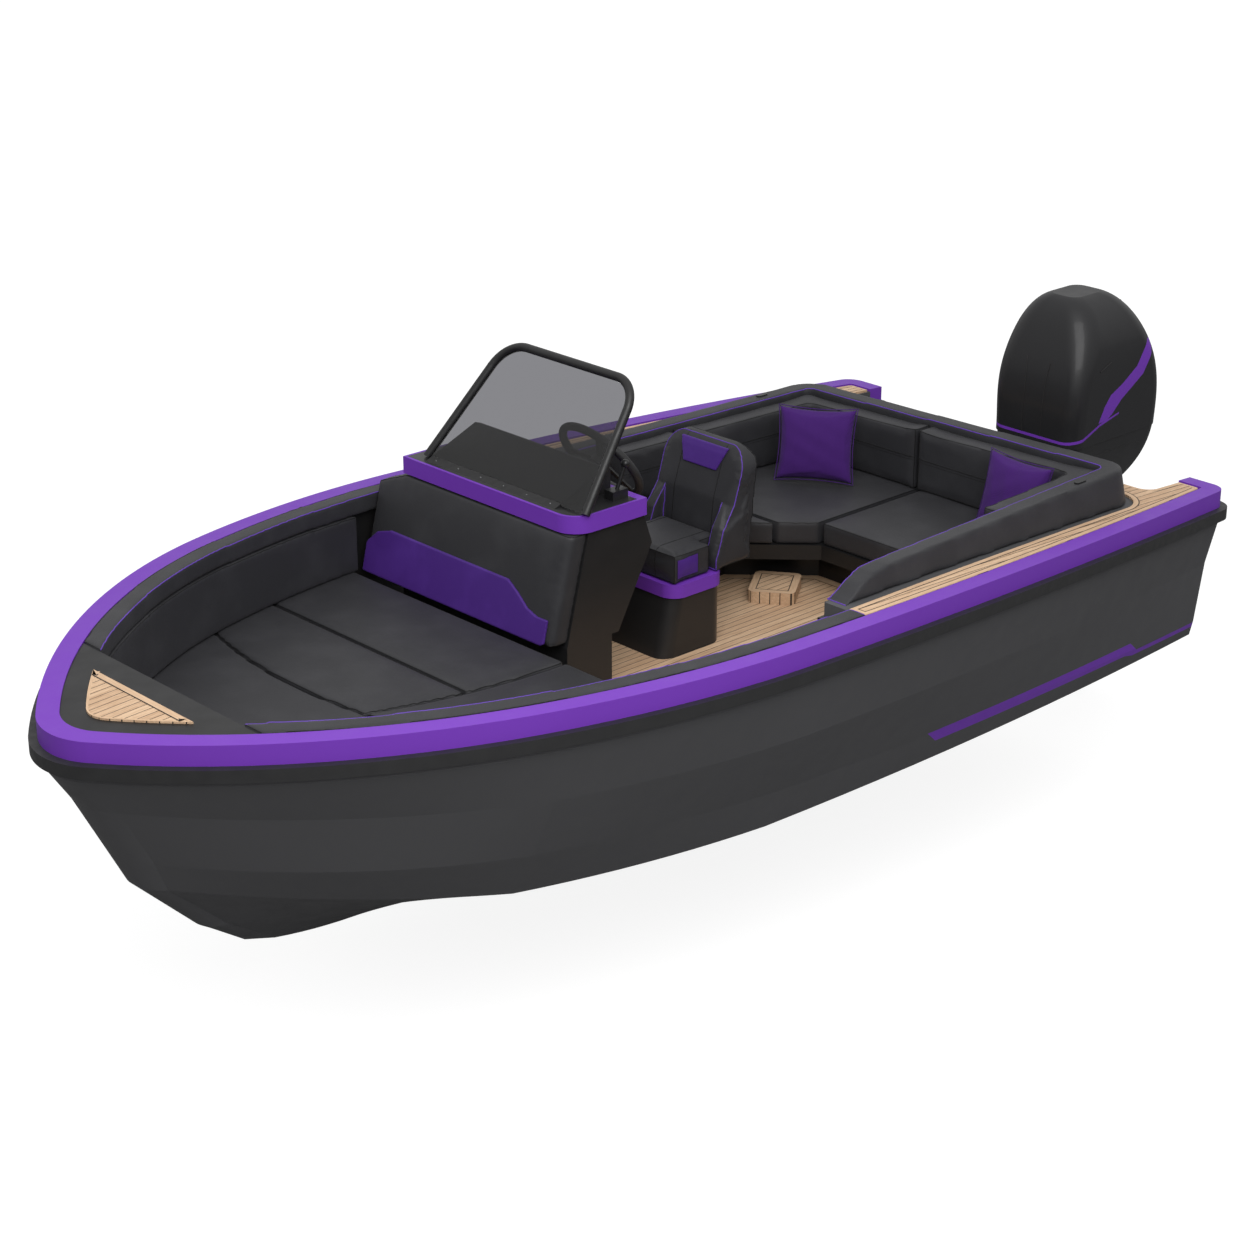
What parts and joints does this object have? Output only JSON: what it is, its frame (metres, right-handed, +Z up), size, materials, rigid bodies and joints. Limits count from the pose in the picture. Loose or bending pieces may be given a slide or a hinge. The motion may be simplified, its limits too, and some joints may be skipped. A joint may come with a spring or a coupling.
{
  "type": "outboard motorboat",
  "caption": "Open outboard motorboat with bow lounge, side console with windscreen, helm seat, wraparound aft lounge and a tilting, steering outboard motor.",
  "frame": {"origin": "on the centreline at the waterline, 3.0 m forward of the top of the transom", "axes": "+X forward to the bow, +Y to port, +Z up"},
  "size_m": [6.5591, 2.894, 2.4349],
  "materials": {
    "hull_gelcoat": "satin dark grey gelcoat",
    "purple_gelcoat": "satin purple gelcoat",
    "rubbing_strake": "semi-rigid vinyl rail",
    "liner_gelcoat": "satin black gelcoat",
    "teak": "planked synthetic teak with dark caulking",
    "dark_upholstery": "marine vinyl with stitched seams",
    "purple_upholstery": "marine vinyl",
    "purple_cloth": "woven pillow cloth",
    "console_moulding": "satin black gelcoat",
    "hood_plastic": "grained black plastic",
    "black_tube": "powder coated tube",
    "smoked_glass": "smoked acrylic pane",
    "wheel_grip": "soft grip",
    "black_metal": "black paint",
    "cowl_paint": "satin black paint",
    "propeller_paint": "black paint",
    "cast_block": "cast"
  },
  "bodies": {
    "boat": {"hull": "hull_gelcoat", "hull_stripes": "purple_gelcoat", "cockpit_liner": "liner_gelcoat", "gunwale_band": "purple_gelcoat", "rub_rail": "rubbing_strake", "side_deck": "hull_gelcoat", "deck_teak": "teak", "foredeck": "liner_gelcoat", "bow_teak": "teak", "bow_coaming_port": "dark_upholstery", "bow_coaming_starboard": "dark_upholstery", "bow_wall_pads": "dark_upholstery", "bow_cushion_front": "dark_upholstery", "bow_cushion_middle": "dark_upholstery", "bow_cushion_aft": "dark_upholstery", "bow_cushion_port": "dark_upholstery", "aft_seat_base": "liner_gelcoat", "floor_teak": "teak", "aft_steps": "teak", "aft_cushion_starboard": "dark_upholstery", "aft_cushion_corner": "dark_upholstery", "aft_cushion_transom": "dark_upholstery", "aft_back_starboard": "dark_upholstery", "aft_back_corner": "dark_upholstery", "aft_back_transom": "dark_upholstery", "aft_coaming": "dark_upholstery", "console_body": "console_moulding", "console_backrest": "dark_upholstery", "backrest_insert": "purple_upholstery", "console_band": "purple_gelcoat", "dash_hood": "hood_plastic", "windscreen_frame": "black_tube", "windscreen_glass": "smoked_glass", "helm_controls": "black_metal", "helm_pedestal": "console_moulding", "helm_band": "purple_gelcoat", "helm_cushion": "dark_upholstery", "helm_back": "dark_upholstery", "helm_headrest": "purple_upholstery", "pillows": "purple_cloth", "deck_fittings": "black_metal", "transom_bracket": "black_metal"},
    "swivel": {"swivel_bracket": "black_metal"},
    "motor": {"upper_cowl": "cowl_paint", "cowl_stripe": "purple_gelcoat", "lower_cowl": "cowl_paint", "powerhead": "cast_block", "leg": "cowl_paint", "lower_unit": "cowl_paint"},
    "propeller": {"propeller": "propeller_paint"},
    "wheel": {"steering_wheel": "wheel_grip"}
  },
  "joints": [
    {"name": "outboard_tilt", "type": "hinge", "parent": "boat", "child": "swivel", "pos_m": [-2.97, 0, 0.6], "axis": [0, 1, 0], "range_deg": [-4, 45]},
    {"name": "outboard_steer", "type": "hinge", "parent": "swivel", "child": "motor", "pos_m": [-3.13, 0, 0.25], "axis": [0, 0, 1], "range_deg": [-30, 30]},
    {"name": "propeller_spin", "type": "hinge", "parent": "motor", "child": "propeller", "pos_m": [-3.56, 0, -0.5], "axis": [1, 0, 0], "continuous": true},
    {"name": "wheel_turn", "type": "hinge", "parent": "boat", "child": "wheel", "pos_m": [-0.29, -0.27, 1.24], "axis": [-0.8192, 0, 0.5736], "range_deg": [-540, 540]}
  ],
  "couplings": [
    {"joint": "outboard_steer", "follows": "wheel_turn", "ratio": -0.0555}
  ]
}
